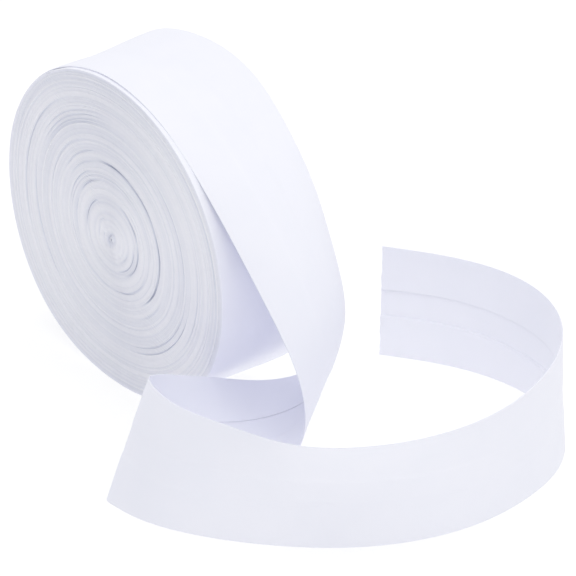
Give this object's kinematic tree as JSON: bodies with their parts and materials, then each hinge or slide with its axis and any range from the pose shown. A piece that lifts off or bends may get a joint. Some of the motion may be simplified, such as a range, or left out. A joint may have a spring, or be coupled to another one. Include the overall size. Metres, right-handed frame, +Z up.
{
  "type": "roll of bias tape",
  "caption": "Coreless roll of folded cotton bias tape standing on its rim, with the loose end twisted and looped on edge on the floor.",
  "frame": {"origin": "middle of the flat spot on which the roll stands", "axes": "+Z up, +X the way the tape leaves the top of the roll, +Y along the roll's axis from the near face to the far one"},
  "size_m": [0.1956, 0.1469, 0.1135],
  "materials": {
    "roll_cotton": "matte cotton, the folded edges of many turns",
    "tape_cotton": "matte plain-weave cotton cut on the bias, pressed"
  },
  "bodies": {
    "root": {"roll": "roll_cotton", "loose_end": "tape_cotton"}
  },
  "joints": []
}
